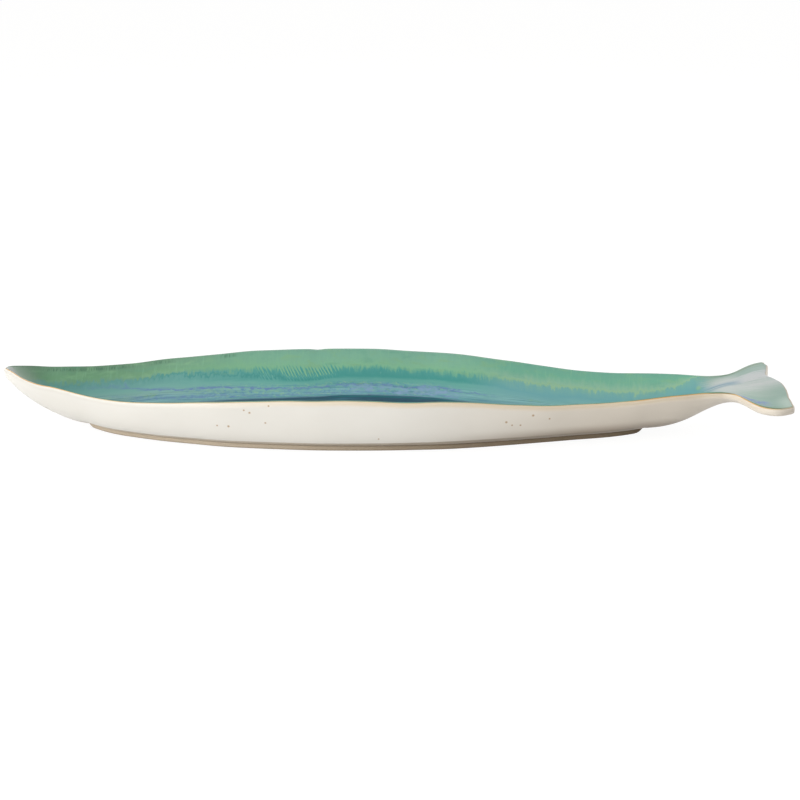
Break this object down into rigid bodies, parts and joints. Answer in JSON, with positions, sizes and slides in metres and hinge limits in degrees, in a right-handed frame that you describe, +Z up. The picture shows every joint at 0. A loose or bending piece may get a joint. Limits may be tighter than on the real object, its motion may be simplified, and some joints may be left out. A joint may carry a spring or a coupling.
{
  "type": "fish-shaped serving platter",
  "caption": "Long shallow stoneware platter shaped like a fish, with a pointed head, wavy rim, flat forked tail and a low unglazed foot ring.",
  "frame": {"origin": "on the table, under the middle of the whole length and of the width", "axes": "+X along the fish from its head to its tail, +Y across the bowl, +Z up out of the bowl"},
  "size_m": [0.5005, 0.14, 0.0393],
  "materials": {
    "toasted_clay": "bare toasted stoneware, satin",
    "bare_foot": "unglazed grey-brown stoneware, matt",
    "white_glaze": "warm white satin glaze with small iron specks",
    "base_white_glaze": "warm white satin glaze with small iron specks",
    "green_glaze": "glossy sea-green reactive glaze with yellow-green runs",
    "blue_glaze": "glossy teal and violet-blue reactive glaze with fine streaks",
    "dark_glaze": "glossy navy glaze, pooled thick",
    "pale_glaze": "glossy pale grey-blue glaze with green streaks"
  },
  "bodies": {
    "root": {"clay_body": "toasted_clay", "foot_ring": "bare_foot", "outer_glaze": "white_glaze", "base_glaze": "base_white_glaze", "rim_glaze": "green_glaze", "wall_glaze": "blue_glaze", "pool_glaze": "dark_glaze", "tail_glaze": "pale_glaze"}
  },
  "joints": []
}
